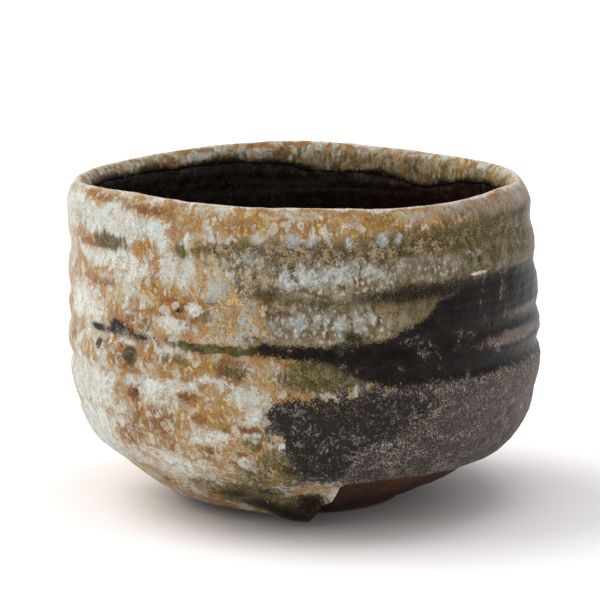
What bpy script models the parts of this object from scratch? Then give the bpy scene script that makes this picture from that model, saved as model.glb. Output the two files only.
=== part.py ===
"""A hand-thrown stoneware tea bowl of the half-cylinder kind: clay vessel, foot ring and two glaze coats.

The frame is the bowl's own: +Z up, origin on the table under the middle of the bowl, the bowl's front
towards -Y. Lengths in the constants are millimetres and headings are degrees, counted from +X towards +Y,
so the front is at 270. The meshes are built in metres.
"""

from math import cos, exp, pi, radians, sin

import bpy
import numpy as np

MM = 0.001
SEGMENTS = 60  # steps round the bowl
UNDERSIDE_RINGS, WALL_RINGS, WELL_RINGS = 8, 28, 14
TURN_WEIGHT = 9.0  # a turn of one radian counts as this much length when the rings are spread out

HEIGHT = 82.8  # the lip's mean height above the table
COAT = 0.9  # thickness of the outer glaze
LINER = 0.7  # thickness of the inner glaze
GAP = 0.3  # clearance between touching pieces

# The outer surface, radius and height, from the middle of the underside to the top of the lip.
OUTSIDE = (
    (0.0, 4.9),
    (14.0, 4.6),
    (18.0, 3.1),
    (24.0, 2.6),
    (30.0, 2.2),
    (35.5, 3.5),
    (41.0, 6.6),
    (47.5, 12.0),
    (54.0, 17.4),
    (58.2, 25.5),
    (60.1, 36.0),
    (60.1, 48.0),
    (59.4, 60.0),
    (58.8, 71.0),
    (58.2, 78.5),
    (55.5, HEIGHT),
)
# The inner surface, from just inside the lip to the middle of the well.
INSIDE = (
    (53.1, 80.6),
    (52.6, 76.0),
    (53.2, 62.0),
    (53.7, 46.0),
    (52.9, 34.0),
    (49.5, 24.5),
    (42.0, 17.2),
    (30.0, 13.6),
    (15.0, 12.3),
    (0.0, 12.0),
)
FOOT_OUTER, FOOT_INNER = 24.2, 18.8  # radii of the foot ring on the table
FOOT_FLARE = 1.2  # how much wider the foot ring is where it joins the clay
FOOT_TOP = 3.5
FOOT_EDGE = 0.6  # rounding of the foot's two lower edges

# Grooves left by the fingers: height, depth, half width, and how far the groove climbs towards a heading.
GROOVES = (
    (69.5, 0.7, 3.0, 3.6, 340.0),
    (58.0, 0.6, 2.6, 4.5, 330.0),
    (48.8, 0.8, 2.2, 1.5, 0.0),
    (39.5, 1.0, 2.2, 2.0, 340.0),
    (28.0, 0.4, 2.6, 1.5, 20.0),
)
GROOVES_FADE = (12.0, 80.0)  # the heights between which fingers marked the wall
INSIDE_GROOVES = 0.35  # the inner surface's grooves are this share of the outer ones

# How the lip departs from a level circle: heading, rise and push outwards.
LIP = (
    (0.0, -0.8, -1.8),
    (45.0, -1.3, -0.3),
    (95.0, 0.4, 0.0),
    (150.0, -1.2, 1.2),
    (182.0, -0.9, 2.3),
    (220.0, 0.8, -0.3),
    (262.0, 0.2, 0.2),
    (300.0, -0.5, 0.6),
    (335.0, 0.6, -0.2),
)

# The outer glaze's lower edge: heading and radius on the underside. It runs further in on the left, and
# ends in a step just right of the front.
SKIRT = (
    (0.0, 50.0),
    (60.0, 44.0),
    (120.0, 37.0),
    (180.0, 34.0),
    (240.0, 34.0),
    (264.0, 35.0),
    (276.0, 42.5),
    (282.0, 50.0),
    (300.0, 50.8),
    (330.0, 50.5),
)
# The outer glaze's inner edge: heading and distance past the top of the lip.
SPILL = (
    (0.0, 6.5),
    (38.0, 6.8),
    (54.0, 9.6),
    (72.0, 8.2),
    (92.0, 8.0),
    (118.0, 6.0),
    (165.0, 5.0),
    (230.0, 7.0),
    (300.0, 6.0),
)
BARE_LINE = 0.8  # between the two glazes


def curve_through(points, steps=12):
    """A smooth line through the points (Catmull-Rom), as an array of radius and height."""
    ends = [points[0], *points, points[-1]]
    line = []
    for a, b, c, d in zip(ends, ends[1:], ends[2:], ends[3:]):
        a, b, c, d = (np.array(p, float) for p in (a, b, c, d))
        for t in np.arange(steps) / steps:
            line.append(
                0.5 * (2 * b + (c - a) * t + (2 * a - 5 * b + 4 * c - d) * t**2 + (3 * b - a - 3 * c + d) * t**3)
            )
    return np.array([*line, np.array(points[-1], float)])


def round_the_rim(table, column, angle):
    """A value listed by heading, eased from each entry to the next round the whole turn."""
    heading = (angle * 180 / pi) % 360
    rows = [*table, (table[0][0] + 360, *table[0][1:])]
    for here, there in zip(rows, rows[1:]):
        if here[0] <= heading <= there[0]:
            share = (heading - here[0]) / (there[0] - here[0])
            return here[column] + (there[column] - here[column]) * share * share * (3 - 2 * share)
    raise ValueError("the table starts at heading 0")


class Outline:
    """The bowl's cross-section as one line, measured by its length, with its direction at each place."""

    def __init__(self):
        self.line = curve_through(OUTSIDE + INSIDE)
        steps = np.hypot(*np.diff(self.line, axis=0).T)
        self.along = np.concatenate([[0.0], np.cumsum(steps)])
        ways = np.gradient(self.line, self.along, axis=0)
        self.ways = ways / np.linalg.norm(ways, axis=1)[:, None]
        self.length = self.along[-1]
        self.lip = self.along[int(np.argmax(self.line[:, 1]))]
        turns = np.abs(np.diff(np.unwrap(np.arctan2(*self.ways.T))))
        self.effort = self.along + TURN_WEIGHT * np.concatenate([[0.0], np.cumsum(turns)])

    def at_radius(self, radius):
        """The length along the outer surface at which it reaches a radius."""
        outside = self.along <= self.lip
        hip = int(np.argmax(self.line[outside, 0]))
        return float(np.interp(radius, self.line[:hip, 0], self.along[:hip]))

    def spread(self, start, end, count):
        """Lengths from start to end, closer together where the line turns."""
        first, last = np.interp((start, end), self.along, self.effort)
        return np.interp(np.linspace(first, last, count), self.effort, self.along)

    def point(self, along, depth):
        """Radius and height at a length along the line and a depth under the surface."""
        radius, height, way_r, way_z = (
            np.interp(along, self.along, values) for values in (*self.line.T, *self.ways.T)
        )
        return max(radius - way_z * depth, 0.0), height + way_r * depth


OUTLINE = Outline()


def groove_depth(angle, height):
    """How far the fingers pressed in at a heading and height."""
    low, high = GROOVES_FADE
    fade = 1 / (1 + exp((low - height) / 1.5)) / (1 + exp((height - high) / 1.0))
    return fade * sum(
        depth * exp(-(((height - level - climb * cos(angle - radians(heading))) / width) ** 2))
        for level, depth, width, climb, heading in GROOVES
    )


def place(angle, along, depth):
    """A point of the bowl, in metres: the outline's point with the grooves and the uneven lip."""
    radius, height = OUTLINE.point(along, depth)
    pressed = groove_depth(angle, height) * (1.0 if along < OUTLINE.lip else INSIDE_GROOVES)
    share = height / HEIGHT
    at_axis = min(radius / 30.0, 1.0)
    radius += at_axis * (round_the_rim(LIP, 2, angle) * share**3 - pressed)
    height += at_axis * round_the_rim(LIP, 1, angle) * share**3
    return radius * cos(angle) * MM, radius * sin(angle) * MM, height * MM


def material(name, colour, roughness):
    made = bpy.data.materials.new(name)
    made.use_nodes = True
    shader = made.node_tree.nodes["Principled BSDF"]
    shader.inputs["Base Color"].default_value = (*colour, 1.0)
    shader.inputs["Roughness"].default_value = roughness
    shader.inputs["Metallic"].default_value = 0.0
    return made


def add_object(name, points, faces, look):
    mesh = bpy.data.meshes.new(name)
    mesh.from_pydata(points, [], faces)
    mesh.validate()
    mesh.shade_smooth()
    mesh.set_sharp_from_angle(angle=radians(40))
    mesh.materials.append(look)
    made = bpy.data.objects.new(name, mesh)
    bpy.context.scene.collection.objects.link(made)
    return made


def band(first, second, count, back=False):
    """The triangles between two rings, given where each starts.

    Their diagonals lean the same way on every layer, also where back says that the rings run backwards,
    so that two layers keep their gap between the rings as well.
    """
    faces = []
    for i in range(count):
        a, b = first + i, first + (i + 1) % count
        c, d = second + (i + 1) % count, second + i
        faces += [(a, b, d), (b, c, d)] if back else [(a, b, c), (a, c, d)]
    return faces


def shell(name, rings, look, turn=0):
    """A vessel closed at the axis, where the first and the last ring lie; before ring turn they run back."""
    count = len(rings[1])
    points = [rings[0][0]]
    for ring in rings[1:-1]:
        points += ring
    points.append(rings[-1][0])
    faces = [(0, 1 + (i + 1) % count, 1 + i) for i in range(count)]
    for ring in range(1, len(rings) - 2):
        first = 1 + (ring - 1) * count
        faces += band(first, first + count, count, back=ring < turn)
    last = len(points) - 1 - count
    faces += [(len(points) - 1, last + i, last + (i + 1) % count) for i in range(count)]
    return add_object(name, points, faces, look)


def hoop(name, rings, look, turn):
    """A closed band round the axis: the last ring joins the first again; from ring turn on they run back."""
    count = len(rings[0])
    points = [point for ring in rings for point in ring]
    faces = []
    for ring in range(len(rings)):
        following = (ring + 1) % len(rings)
        faces += band(ring * count, following * count, count, back=ring >= turn)
    return add_object(name, points, faces, look)


def headings(count=SEGMENTS):
    return [2 * pi * i / count for i in range(count)]


def surface(start, end, depth, count):
    """Rings at one depth between two lengths along the outline, each a function of the angle."""
    columns = []
    for angle in headings():
        along = OUTLINE.spread(start(angle), end(angle), count)
        columns.append([place(angle, step, depth) for step in along])
    return [list(ring) for ring in zip(*columns)]


def underside_middle(angle):
    return 0.0


def skirt(angle):
    """Where the outer glaze starts."""
    return OUTLINE.at_radius(round_the_rim(SKIRT, 1, angle))


def spill(angle):
    """Where the outer glaze ends, inside the lip."""
    return OUTLINE.lip + round_the_rim(SPILL, 1, angle)


def liner_top(angle):
    """Where the inner glaze starts."""
    return spill(angle) + BARE_LINE


def well(angle):
    """The middle of the floor inside."""
    return OUTLINE.length


def make_clay_body():
    """The thrown vessel, a glaze's thickness and a gap under the finished surface."""
    look = material("stoneware_clay", (0.075, 0.042, 0.034), 0.75)
    depth = COAT + GAP
    rings = surface(underside_middle, skirt, depth, UNDERSIDE_RINGS)[:-1]
    rings += surface(skirt, spill, depth, WALL_RINGS)
    rings += surface(liner_top, well, depth, WELL_RINGS)
    return shell("clay_body", rings, look)


def make_outer_glaze():
    """The pale coat, from its skirt near the foot, up the wall, over the lip and a little way inside."""
    look = material("ash_glaze", (0.52, 0.50, 0.42), 0.35)
    over, under = (surface(skirt, spill, depth, WALL_RINGS) for depth in (0.0, COAT))
    return hoop("outer_glaze", over + under[::-1], look, turn=WALL_RINGS)


def make_inner_glaze():
    """The dark liner, from just under the outer glaze's inner edge down over the whole well."""
    look = material("liner_glaze", (0.018, 0.013, 0.012), 0.25)
    over, under = (surface(liner_top, well, depth, WELL_RINGS) for depth in (COAT - LINER, COAT))
    return shell("inner_glaze", under[::-1] + over, look, turn=WELL_RINGS - 1)


def make_foot_ring():
    """The ring that the bowl stands on, flat underneath, with a flare up to the clay."""
    look = material("foot_clay", (0.085, 0.045, 0.034), 0.85)
    section = (
        (FOOT_INNER + FOOT_EDGE, 0.0),
        (FOOT_OUTER - FOOT_EDGE, 0.0),
        (FOOT_OUTER, FOOT_EDGE),
        (FOOT_OUTER + FOOT_FLARE, FOOT_TOP),
        (FOOT_INNER - FOOT_FLARE, FOOT_TOP),
        (FOOT_INNER, FOOT_EDGE),
    )
    rings = [
        [(radius * cos(angle) * MM, radius * sin(angle) * MM, height * MM) for angle in headings()]
        for radius, height in section
    ]
    return hoop("foot_ring", rings, look, turn=len(rings))


def main():
    for old in list(bpy.context.scene.objects):
        bpy.data.objects.remove(old)
    make_clay_body()
    make_foot_ring()
    make_outer_glaze()
    make_inner_glaze()


main()
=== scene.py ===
"""The looks of a wood-fired tea bowl: thrown stoneware under a runny ash glaze and a dark liner.

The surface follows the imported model's own outline, with the relief of the throwing and of the glaze
added. The bowl is made in millimetres, and the floor, lights and camera in metres. Headings are
degrees from +X towards +Y, so the front is at 270.
"""

import bpy
import numpy as np
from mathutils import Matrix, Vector


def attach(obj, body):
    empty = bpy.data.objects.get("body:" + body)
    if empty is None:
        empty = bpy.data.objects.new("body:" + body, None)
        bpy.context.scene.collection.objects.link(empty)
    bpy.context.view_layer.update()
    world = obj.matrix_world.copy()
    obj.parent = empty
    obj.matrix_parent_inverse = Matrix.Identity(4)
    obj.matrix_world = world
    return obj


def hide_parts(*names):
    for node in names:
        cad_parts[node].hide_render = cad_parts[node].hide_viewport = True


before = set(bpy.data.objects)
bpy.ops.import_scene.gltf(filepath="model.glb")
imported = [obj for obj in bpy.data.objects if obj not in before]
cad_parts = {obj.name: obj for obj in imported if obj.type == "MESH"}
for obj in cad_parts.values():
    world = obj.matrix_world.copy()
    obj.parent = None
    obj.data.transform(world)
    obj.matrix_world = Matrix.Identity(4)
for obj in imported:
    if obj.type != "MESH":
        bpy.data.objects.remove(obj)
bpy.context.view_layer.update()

MM = 0.001

# ---- the bowl's form, as the model has it
HEIGHT = 82.8
COAT = 0.9  # the ash glaze's thickness
LINER = 0.7  # the liner glaze's thickness
GAP = 0.3  # between each glaze and the clay under it
# Radius and height, from the axis under the floor up to the lip, and from there into the well.
OUTSIDE = (
    (0, 4.9), (14, 4.6), (18, 3.1), (24, 2.6), (30, 2.2), (35.5, 3.5), (41, 6.6), (47.5, 12),
    (54, 17.4), (58.2, 25.5), (60.1, 36), (60.1, 48), (59.4, 60), (58.8, 71), (58.2, 78.5),
    (55.5, HEIGHT),
)
INSIDE = (
    (53.1, 80.6), (52.6, 76), (53.2, 62), (53.7, 46), (52.9, 34), (49.5, 24.5), (42, 17.2),
    (30, 13.6), (15, 12.3), (0, 12),
)
FOOT_OUTER, FOOT_INNER, FOOT_FLARE, FOOT_TOP = 24.2, 18.8, 1.2, 3.5
HIP_RADIUS = 36.0  # from here up to the lip the outer wall only rises
# The soft finger grooves: height, depth, half width, climb and the heading they climb towards.
GROOVES = (
    (69.5, 0.7, 3.0, 3.6, 340.0),
    (58.0, 0.6, 2.6, 4.5, 330.0),
    (48.8, 0.8, 2.2, 1.5, 0.0),
    (39.5, 1.0, 2.2, 2.0, 340.0),
    (28.0, 0.4, 2.6, 1.5, 20.0),
)
GROOVES_FADE = (12.0, 80.0)  # the heights between which they are pressed in
INSIDE_GROOVES = 0.35  # their share on the inside
EVEN_CENTRE = 30.0  # nearer the axis than this, the bowl's unevenness fades away
# The uneven lip: heading, rise and push outwards.
LIP = (
    (0, -0.8, -1.8), (45, -1.3, -0.3), (95, 0.4, 0), (150, -1.2, 1.2), (182, -0.9, 2.3),
    (220, 0.8, -0.3), (262, 0.2, 0.2), (300, -0.5, 0.6), (335, 0.6, -0.2),
)
# The coat's lower edge, heading and radius: it is torn into a step just right of the front.
SKIRT = (
    (0, 50.3), (28, 48.6), (60, 44), (90, 41.5), (120, 37), (180, 34), (240, 34), (262, 34.6),
    (270, 35.6), (272.5, 39), (276, 42.2), (278.6, 43.6), (279.6, 48.4), (281.5, 50.1), (300, 50.8),
    (330, 50.6),
)
LUMP = (268.0, 39.0)  # heading and radius of the thick glaze left of the step
TEAR = (277.5, 10.5)  # heading and height of the roll of glaze along the step
# The coat's inner edge, heading and distance past the top of the lip.
SPILL = (
    (0, 6.5), (25, 6.6), (38, 7.4), (47, 9.2), (54, 10.6), (62, 9.2), (72, 8.6), (89, 8.8),
    (96, 7.2), (104, 6.6), (113, 5.8), (131, 5.8), (144, 5.2), (165, 4.8), (200, 6), (230, 7),
    (262, 6), (300, 6.4), (330, 5.8),
)

# Points round the bowl, and rings along it, in each mesh. The foot has steps from point to point.
COAT_COUNT, COAT_RINGS, COAT_INNER_RINGS = 480, 160, 28
CLAY_COUNT, CLAY_RINGS = 320, 130
LINER_COUNT, LINER_RINGS = 320, 120
FOOT_COUNT, FOOT_STEPS = 320, 6
AXIS_RING = 0.4  # from the axis to the nearest ring
ABOVE_TABLE = 0.4  # the lowest that the coat hangs
# Fine throwing and turning lines, in radians to a millimetre.
COAT_LINES, CLAY_LINES, LINER_LINES, FOOT_LINES = 2.73, 3.4, 2.2, 6.0


def bell(value, width):
    """1 at a value of 0, falling away on both sides over a width."""
    return np.exp(-((value / width) ** 2))


def unit(value):
    """A value held between 0 and 1."""
    return np.clip(value, 0, 1)


def between(value, low, high, soft_low, soft_high):
    """1 between two limits and 0 outside them, with a soft step at each."""
    return 1 / (1 + np.exp((low - value) / soft_low)) / (1 + np.exp((value - high) / soft_high))


def polar(radius, heading, height):
    """Points at a radius, a heading and a height."""
    turn = np.radians(heading)
    return np.stack([radius * np.cos(turn), radius * np.sin(turn), height], -1)


def turned(heading, towards):
    """How far a heading is from another, -180 to 180."""
    return (heading - towards + 180) % 360 - 180


def curve_through(points, steps=24):
    """A smooth line through the points (Catmull-Rom), as an array of radius and height."""
    ends = [points[0], *points, points[-1]]
    line = []
    for a, b, c, d in zip(ends, ends[1:], ends[2:], ends[3:]):
        a, b, c, d = (np.array(p, float) for p in (a, b, c, d))
        bend, twist = 2 * a - 5 * b + 4 * c - d, 3 * b - a - 3 * c + d
        for t in np.arange(steps) / steps:
            line.append(0.5 * (2 * b + (c - a) * t + bend * t**2 + twist * t**3))
    return np.array([*line, np.array(points[-1], float)])


LINE = curve_through(OUTSIDE + INSIDE)
ALONG = np.concatenate([[0.0], np.cumsum(np.hypot(*np.diff(LINE, axis=0).T))])
WAYS = np.gradient(LINE, ALONG, axis=0)
WAYS /= np.linalg.norm(WAYS, axis=1)[:, None]
LIP_ALONG = ALONG[int(np.argmax(LINE[:, 1]))]


def round_the_rim(table, column, heading):
    """A value listed by heading, eased from each entry to the next."""
    rows = np.array([*table, (table[0][0] + 360, *table[0][1:])], float)
    heading = np.asarray(heading, float) % 360
    row = np.clip(np.searchsorted(rows[:, 0], heading, side="right") - 1, 0, len(rows) - 2)
    share = (heading - rows[row, 0]) / (rows[row + 1, 0] - rows[row, 0])
    share = share * share * (3 - 2 * share)
    return rows[row, column] + (rows[row + 1, column] - rows[row, column]) * share


def along_at_radius(radius):
    """The length along the outer surface at which it reaches a radius, on the underside."""
    hip = int(np.argmax(LINE[ALONG <= LIP_ALONG, 0]))
    return np.interp(radius, LINE[:hip, 0], ALONG[:hip])


def radius_of(level):
    """The outer wall's radius at a height, from the hip up to the lip."""
    start = int(np.searchsorted(ALONG, along_at_radius(HIP_RADIUS)))
    wall = slice(start, int(np.argmax(LINE[:, 1])))
    return np.interp(level, LINE[wall, 1], LINE[wall, 0])


def outline(along, depth):
    """Radius and height at a length along the outline and a depth under the surface."""
    radius, height, way_r, way_z = (np.interp(along, ALONG, v) for v in (*LINE.T, *WAYS.T))
    return np.maximum(radius - way_z * depth, 0.0), height + way_r * depth


def place(heading, along, depth=0.0):
    """Points of the bowl, in millimetres, with the finger grooves and the uneven lip."""
    radius, height = outline(along, depth)
    pressed = sum(
        deep * bell(height - level - climb * np.cos(np.radians(heading - towards)), width)
        for level, deep, width, climb, towards in GROOVES
    )
    pressed = pressed * between(height, *GROOVES_FADE, 1.5, 1.0)
    pressed = pressed * np.where(along < LIP_ALONG, 1.0, INSIDE_GROOVES)
    share = (height / HEIGHT) ** 3
    uneven = np.minimum(radius / EVEN_CENTRE, 1.0)
    radius = radius + uneven * (round_the_rim(LIP, 2, heading) * share - pressed)
    height = height + uneven * round_the_rim(LIP, 1, heading) * share
    return polar(radius, heading, height)


# ---- noise, patches and bands over the surface
LATTICE, LATTICE_SHIFT = 32, 500.0  # the noise's cube of random values, and its distance off centre
CLOUD_GAIN = 1.4  # brings its usual range out to about -1 to 1


def clouds(points, size, seed, octaves=1):
    """Smooth random values from -1 to 1 at points, about size apart, the same on every run."""
    total, weight = np.zeros(points.shape[:-1]), 0.0
    for octave in range(octaves):
        lattice = np.random.default_rng(seed + octave).uniform(-1, 1, (LATTICE,) * 3)
        spot = points / size * 2**octave + LATTICE_SHIFT
        cell = np.floor(spot).astype(int)
        part = spot - cell
        part = part * part * (3 - 2 * part)
        value = 0.0
        for corner in np.ndindex(2, 2, 2):
            share = np.prod(np.where(corner, part, 1 - part), axis=-1)
            value = value + share * lattice[tuple(np.moveaxis((cell + corner) % LATTICE, -1, 0))]
        total, weight = total + value * 0.5**octave, weight + 0.5**octave
    return total / weight * CLOUD_GAIN


def ragged(heading, seed):
    """A fine irregular line round the bowl, -1 to 1."""
    return clouds(polar(50.0, heading, 0 * heading), 4.0, seed, 3)


def patches(table, heading, level):
    """Soft-edged patches, by heading, height, half width, half height and strength."""
    strength = np.zeros_like(level)
    for at, height, wide, tall, strong in table:
        away = (turned(heading, at) / wide) ** 2 + ((level - height) / tall) ** 2
        strength = np.maximum(strength, strong / (1 + away**2))
    return strength


def ribbon(table, heading, level, soft=1.0):
    """A band round part of the bowl, listed by heading, lower edge and upper edge."""
    rows = np.array(table, float)
    bent = rows[0, 0] + (heading - rows[0, 0]) % 360
    low, high = (np.interp(bent, rows[:, 0], rows[:, column]) for column in (1, 2))
    inside = between(level, low, high, soft, soft)
    return np.where(bent <= rows[-1, 0], inside, 0.0) * unit((high - low) / (2 * soft))


# The glaze's own map. Patches are heading, height, half width, half height and strength: degrees
# across and millimetres up.
BLUE = (  # pools of celadon
    (211, 76, 19, 4.6, 1), (192, 76, 14, 5.5, 0.9), (232.5, 75, 3, 4.2, 1),
    (235.6, 68, 2.7, 4.2, 1), (241.5, 66, 2, 4.6, 0.9), (250.5, 64.5, 2.2, 3, 0.85),
    (257, 54.5, 2.6, 3, 0.8), (247, 62, 3.6, 2.4, 0.7), (255.8, 37, 4.2, 3.2, 1),
    (257.8, 33.4, 2.2, 2.6, 1), (203, 35, 16, 6, 0.95), (203, 21, 16, 8, 0.9), (222, 30, 5, 3, 0.6),
    (237, 19, 6, 3, 0.75), (228, 38.6, 6, 2, 0.8), (247, 26.4, 5, 2, 0.7), (262, 24.4, 3, 2, 0.55),
    (254.5, 20, 1.6, 1.6, 0.9), (212, 66.5, 15, 3.6, 0.6), (253.5, 57, 6, 3, 0.55),
    (250, 51.8, 7, 1.2, 0.6), (170, 66, 22, 13, 0.8), (150, 34, 24, 11, 0.75),
    (120, 74, 14, 6, 0.7), (98, 55, 7, 14, 0.65),
)
WHITE_ASH_AND_GLINTS = (  # thick white ash, with painted highlights on the ridge at 315.5 and on the torn edge at 278.2
    (243, 58, 2.2, 2.2, 1), (237, 53.6, 4.2, 1.6, 1), (223.5, 47.4, 3, 0.9, 0.9),
    (266, 13.2, 4.2, 1.3, 1.1), (315.5, 64.8, 2.4, 0.3, 1), (278.2, 11, 1.4, 2.6, 1),
    (203, 55, 11, 5, 0.8), (222, 66, 8, 3.5, 0.6), (280, 79, 2.2, 1, 0.6), (231, 37, 4, 3, 0.55),
    (264, 43.5, 4, 2.4, 0.5), (282.5, 21, 3, 1, 0.55), (232, 17, 12, 5, 0.6),
    (246, 26.6, 8, 2.4, 0.65), (236, 38.4, 8, 1.8, 0.55), (212, 28, 10, 5, 0.6),
    (254.5, 20, 1.5, 1.5, 1), (249, 40.2, 5, 1, 0.55),
)
OCHRE = (  # golden stains and nets
    (204, 81, 5, 1.4, 0.85), (229, 80.2, 8, 1.7, 0.9), (254, 79.2, 10, 2.6, 0.85),
    (272, 78.6, 14, 3, 0.9), (286, 79.2, 8, 2.4, 0.8), (302, 79, 12, 2.4, 0.5),
    (211.5, 64.2, 5, 1.3, 0.75), (231, 62.2, 6, 2.2, 0.8), (228.5, 71.7, 3.4, 1.9, 0.85),
    (202, 70.2, 6.5, 2.2, 0.85), (216, 58.5, 8, 4, 0.48), (239, 57, 9, 5, 0.62),
    (253, 57.4, 1.5, 4.6, 0.8), (260, 57.4, 1.6, 4.6, 0.8), (218, 42.7, 2.6, 1.8, 0.8),
    (205.5, 43.2, 5.2, 1.5, 0.8), (231, 30.6, 10, 4.2, 0.6), (248, 34, 9, 4, 0.55),
    (220, 34.6, 1.6, 4.2, 0.75), (226, 24.4, 8, 6, 0.5), (241, 22.6, 10, 3.6, 0.6),
    (259.4, 20, 4, 5.4, 0.75), (252, 66.5, 10, 5.4, 0.46), (246, 43.8, 4.6, 2.2, 0.8),
    (275.6, 12.4, 3, 1.4, 0.6), (265.2, 37, 3.2, 3.6, 0.85), (275, 39.2, 11, 1.3, 0.75),
    (298, 58.2, 6, 2.6, 0.45), (262, 42.6, 7, 3, 0.5), (226, 12, 20, 4, 0.5), (165, 49, 20, 4, 0.7),
    (140, 60, 12, 6, 0.6), (110, 40, 14, 8, 0.65), (140, 80, 34, 2.2, 0.75), (60, 72, 24, 7, 0.6),
    (85, 28, 14, 8, 0.6), (180, 24, 12, 5, 0.5), (30, 78, 30, 3, 0.55),
)
RUST = (  # their reddish hearts
    (212, 81.6, 12, 0.8, 0.6), (229, 80.4, 7, 1.1, 0.7), (206, 69.6, 10, 0.9, 0.6),
    (238.5, 57, 8, 4, 0.6), (224.5, 52.6, 2, 1.9, 0.8), (241.6, 36.2, 2.4, 1.4, 0.8),
    (244.6, 31, 2.4, 1.1, 0.8), (255, 29.3, 6, 1, 1), (245.6, 22.2, 2, 1.9, 0.75),
    (254.5, 20, 3.6, 3.2, 0.7), (222, 10.6, 3.2, 1.4, 0.7), (222, 44.2, 5, 4, 0.55),
    (231, 29.6, 7, 3.4, 0.6), (253, 43.6, 4.6, 3.4, 0.66), (226, 35.4, 2.8, 2.8, 0.65),
    (221.5, 25, 6, 5, 0.5), (211, 61, 7, 1.2, 0.55), (234, 24, 3, 4, 0.5), (160, 48.6, 14, 2, 0.65),
    (108, 41, 8, 5, 0.6), (140, 81, 22, 1, 0.6), (88, 27, 8, 5, 0.55),
)
OLIVE = (  # translucent dark runs
    (214, 70.8, 6.6, 2, 0.9), (239, 71.6, 2, 1.3, 0.8), (330, 76, 12, 2.2, 1.1),
    (262, 62.5, 4.6, 1.7, 0.9), (274, 60.3, 8.4, 1.4, 0.85), (293, 62, 9, 2.4, 0.95),
    (308, 63.4, 6, 2.6, 0.8), (250, 49, 13, 1.3, 1.3), (275.5, 43.4, 11, 3.8, 1.35),
    (238, 44.4, 6, 1.5, 0.5), (250, 9.6, 13, 3.6, 1), (240, 12, 8, 2.2, 0.6), (257, 15, 7, 3, 0.7),
    (263, 6.4, 8, 3.6, 1.1), (264, 19.6, 7, 5.2, 0.75), (297, 58.6, 5.6, 3.2, 0.6),
    (301, 67, 9, 4.4, 0.4), (322, 69, 14, 5.6, 0.95), (345, 69, 15, 6.5, 0.8),
    (281, 52, 4.2, 2.2, 0.95), (275, 55.2, 15, 5, 0.42), (230, 52.6, 2.2, 1.6, 0.7),
    (272, 7, 6.5, 3.4, 1), (267, 16.6, 6, 4.4, 0.8), (284, 18, 8, 4, 0.6), (15, 66, 18, 8, 0.7),
    (50, 58, 18, 7, 0.6), (80, 44, 12, 6, 0.6), (262, 29, 4, 4, 0.5), (140, 71, 16, 1.8, 0.75),
    (252.5, 43.8, 3.6, 1.5, 0.8), (254, 42.6, 2, 1.6, 0.7), (258, 24.5, 3, 1.6, 0.55),
    (253, 68.5, 5, 1.3, 0.6), (249, 72.4, 5, 1.6, 0.8), (262, 57.5, 1.4, 3.5, 0.6),
    (246, 56, 1.6, 2, 0.55),
)
BLACK = (  # charred spots
    (211, 49.5, 3.2, 1.1, 0.95), (239.3, 57.3, 0.7, 0.7, 0.95), (256, 6.4, 8, 2.2, 0.8),
    (264, 5.4, 8, 2.4, 0.85), (247, 9.6, 6, 1.3, 0.6), (260, 11.4, 5, 1.2, 0.6),
    (271.5, 8, 5, 2.8, 0.72), (268, 18.2, 4, 1.4, 0.55), (186, 49, 8, 0.9, 0.8),
    (338, 76.8, 7, 1.2, 0.6), (281, 52.2, 3, 1.6, 0.6),
)
PITS = (  # heading, height, radius and depth of burst bubbles
    (211.5, 45.6, 1.5, 0.5), (224.2, 44.4, 2.8, 0.6), (226, 35.4, 1.3, 0.45),
    (239.3, 57.3, 0.6, 0.35), (319.5, 51.5, 0.6, 0.4), (160, 46, 1.8, 0.45), (122, 33, 1.3, 0.4),
    (60, 66, 0.9, 0.4),
)
DROP = (  # single soft white drops in the clouds
    (267.5, 76, 1.9, 2.2, 1), (271.6, 75.8, 1.3, 1.6, 0.9), (275.4, 76.2, 1.3, 1.7, 0.9),
    (258, 75.6, 1.3, 1.6, 0.8), (280, 75.6, 1.2, 1.4, 0.8), (288, 75.6, 1.3, 1.7, 0.95),
    (292, 75.4, 1.2, 1.6, 0.9), (249, 63.6, 1.8, 2.2, 0.9), (265.5, 66, 2, 2.4, 1),
    (270.6, 66.8, 2.1, 2.8, 1), (275, 67.4, 1.8, 2.2, 0.9), (279.5, 67.6, 1.9, 2.4, 0.95),
    (284, 68, 1.7, 2, 0.9), (288.5, 67, 1.6, 2.2, 0.7), (293.5, 68.6, 1.8, 1.8, 0.6),
    (268.6, 55.4, 1.8, 1.9, 0.9), (272.8, 56.4, 1.5, 1.6, 0.8), (277, 55.6, 1.6, 2.2, 0.8),
    (281.6, 57, 1.5, 1.6, 0.75), (285.6, 56.4, 1.4, 1.6, 0.7), (264, 53.4, 1.6, 1.4, 0.7),
    (306, 69.4, 2.4, 1.5, 0.5), (314, 69.8, 3, 1.2, 0.5), (257, 70.6, 1.6, 1.8, 0.6),
    (40, 66, 2.6, 2.8, 0.8), (52, 68, 2.4, 2.6, 0.8), (63, 67, 2.6, 3, 0.9),
)
CLOUD = (  # where drops and beads gather
    (277, 66.4, 17, 4.4, 0.85), (276, 55.2, 15, 4.6, 0.8), (302, 67, 10, 4.2, 0.5),
    (256, 68, 8, 5, 0.5), (320, 68, 14, 4, 0.3), (60, 66, 24, 9, 0.5),
)
NET = (  # the brown net under the lip
    (266, 71.4, 9, 3.6, 1.2), (281, 72.4, 11, 2.3, 1.1), (249.5, 72.6, 5, 1.8, 0.9),
    (300, 73, 9, 2, 0.7),
)
CURL = (  # curls of ash outlined in ochre
    (254.5, 57, 7.5, 5.5, 1), (249, 66, 7, 4, 0.7), (262, 66, 4, 3, 0.6), (105, 62, 10, 6, 0.7),
)
INNER_BLUE = (  # inside the lip, with the distance past its top for a height
    (121, 3, 6, 2.4, 0.95), (103, 3.2, 5, 2.8, 0.95), (88, 3.4, 4, 2.4, 0.85),
    (74, 2.6, 5, 1.6, 0.6), (150, 2.2, 9, 1.6, 0.6), (210, 2.5, 24, 2, 0.7),
)
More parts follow.
